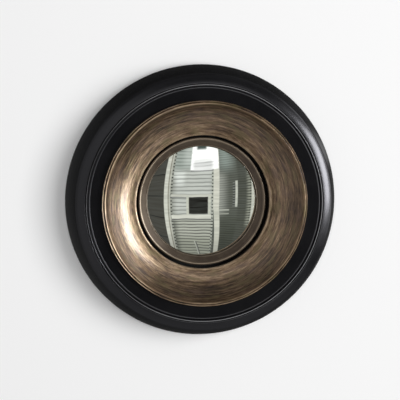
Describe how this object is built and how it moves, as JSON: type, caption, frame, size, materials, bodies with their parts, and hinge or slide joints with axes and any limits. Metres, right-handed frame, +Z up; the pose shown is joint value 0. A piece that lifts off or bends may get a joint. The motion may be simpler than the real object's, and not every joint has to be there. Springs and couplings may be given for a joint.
{
  "type": "convex wall mirror",
  "caption": "Round convex wall mirror in a deep turned frame: black moulding, concave bronze cove, dark bezel, domed glass, closed back and a swinging hanging ring.",
  "frame": {"origin": "the mirror's axis at the wall plane, on the frame's flat rear rim", "axes": "+Y into the wall along the mirror's axis, so the glass faces -Y; +Z up, with the hanger at the top; +X to the viewer's right"},
  "size_m": [0.4, 0.065, 0.4],
  "materials": {
    "black_lacquer": "satin black lacquer on turned wood",
    "bronze_gilt": "brushed bronze leaf with a dark glaze, on turned wood",
    "dark_bronze": "dark bronze paint on cast resin",
    "mirror_glass": "silvered domed glass",
    "gasket": "thin rubber strip",
    "foam": "closed-cell foam strip",
    "hardboard": "plain hardboard",
    "zinc_steel": "zinc-plated steel"
  },
  "bodies": {
    "mirror": {"outer_frame": "black_lacquer", "cove_ring": "bronze_gilt", "bezel_ring": "dark_bronze", "convex_mirror": "mirror_glass", "glass_gasket": "gasket", "foam_ring": "foam", "back_board": "hardboard", "frame_screws": "zinc_steel", "bezel_screws": "zinc_steel", "back_board_screws": "zinc_steel", "hanger_plate": "zinc_steel", "hanger_screws": "zinc_steel"},
    "ring": {"hanger_ring": "zinc_steel"}
  },
  "joints": [
    {"name": "hanger_ring_swing", "type": "hinge", "parent": "mirror", "child": "ring", "pos_m": [0, -0.005, 0.1304], "axis": [1, 0, 0], "range_deg": [0, 180]}
  ]
}
